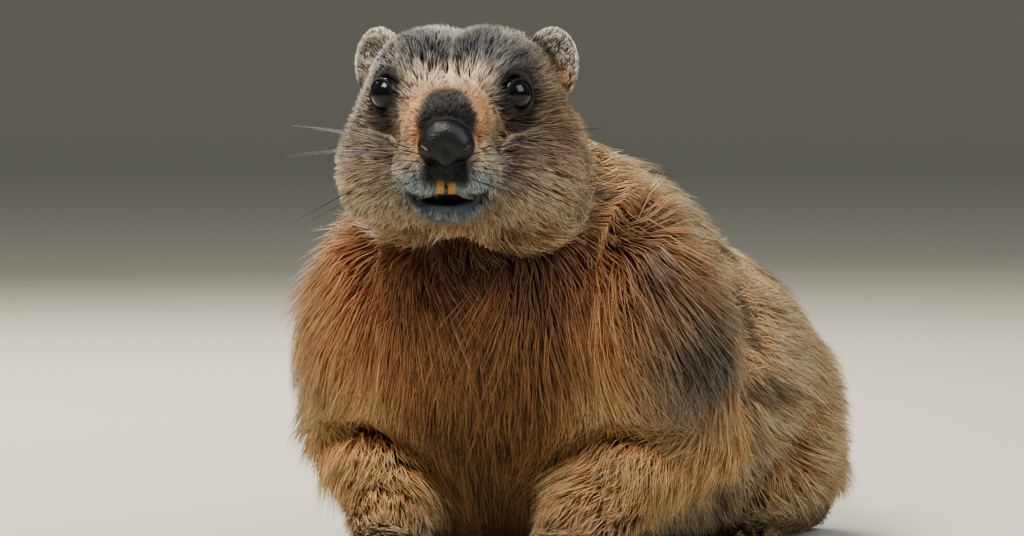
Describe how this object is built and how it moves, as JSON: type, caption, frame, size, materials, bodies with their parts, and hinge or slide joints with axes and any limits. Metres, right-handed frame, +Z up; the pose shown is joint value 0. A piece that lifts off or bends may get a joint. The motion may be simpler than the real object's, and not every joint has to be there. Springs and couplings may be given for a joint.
{
  "type": "alpine marmot",
  "caption": "Life-size still model of an alpine marmot crouched on all fours, chest and head raised, long grizzled coat, brushy tail laid back on the floor.",
  "frame": {"origin": "on the floor, under the middle of the model's box", "axes": "+Z up; the animal faces -Y, its own left side is +X, its tail lies towards +Y"},
  "size_m": [0.2338, 0.599, 0.2458],
  "materials": {
    "head_fur": "short grizzled brown-grey fur with cream muzzle",
    "chest_fur": "long rusty orange fur with dark hair bases",
    "back_fur": "long tan fur flecked with dark brown and cream",
    "tail_fur": "bushy dark brown fur with a black tip",
    "ear_fur": "short grey-brown fur with a cream rim",
    "leg_fur": "golden tan fur, greyer towards the paws",
    "nose_skin": "black, moist and finely pebbled",
    "eye": "very dark brown, wet gloss",
    "tooth": "amber enamel, semi-gloss"
  },
  "bodies": {
    "root": {"head": "head_fur", "nose": "nose_skin", "neck": "chest_fur", "torso_front": "chest_fur", "torso_rear": "back_fur", "tail": "tail_fur", "ear_left": "ear_fur", "eye_left": "eye", "incisor_left": "tooth", "foreleg_left": "leg_fur", "hindleg_left": "leg_fur", "ear_right": "ear_fur", "eye_right": "eye", "incisor_right": "tooth", "foreleg_right": "leg_fur", "hindleg_right": "leg_fur"}
  },
  "joints": []
}
